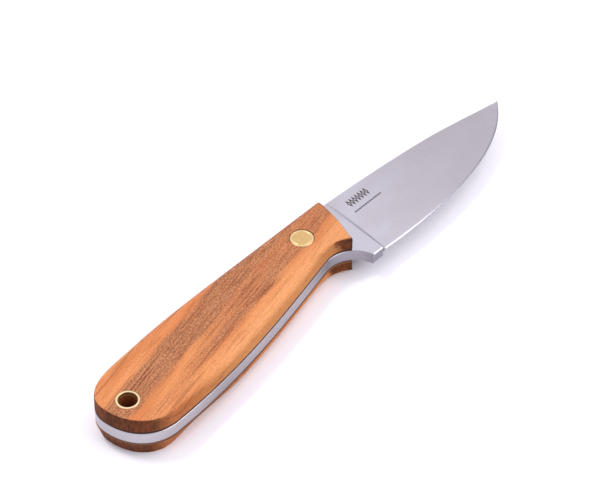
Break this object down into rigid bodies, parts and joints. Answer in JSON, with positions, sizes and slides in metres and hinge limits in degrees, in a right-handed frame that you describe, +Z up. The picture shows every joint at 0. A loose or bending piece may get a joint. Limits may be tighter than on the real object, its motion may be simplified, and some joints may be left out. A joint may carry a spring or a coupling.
{
  "type": "whittling knife",
  "caption": "Full-tang fixed-blade whittling knife: flat-ground drop-point blade, wood scales on dark liners, brass bolt and lanyard tube.",
  "frame": {"origin": "centre of the bounding box, on the surface that the knife rests on when it lies on its left scale", "axes": "+X from the butt to the tip, +Y from the cutting edge to the spine, +Z up through the thickness, out of the right scale"},
  "size_m": [0.1652, 0.0258, 0.013],
  "materials": {
    "blade_steel": "satin, finely brushed along the tang edge and across the blade",
    "dark_fibre": "matt dark fibre sheet, seen only as a thin line",
    "oiled_wood": "oiled, satin, straight grain with a darker streaked band",
    "brass": "satin, ground flush with the wood"
  },
  "bodies": {
    "root": {"blade_and_tang": "blade_steel", "right_liner": "dark_fibre", "left_liner": "dark_fibre", "right_scale": "oiled_wood", "left_scale": "oiled_wood", "scale_bolt": "brass", "scale_bolt_nut": "brass", "lanyard_tube": "brass"}
  },
  "joints": []
}
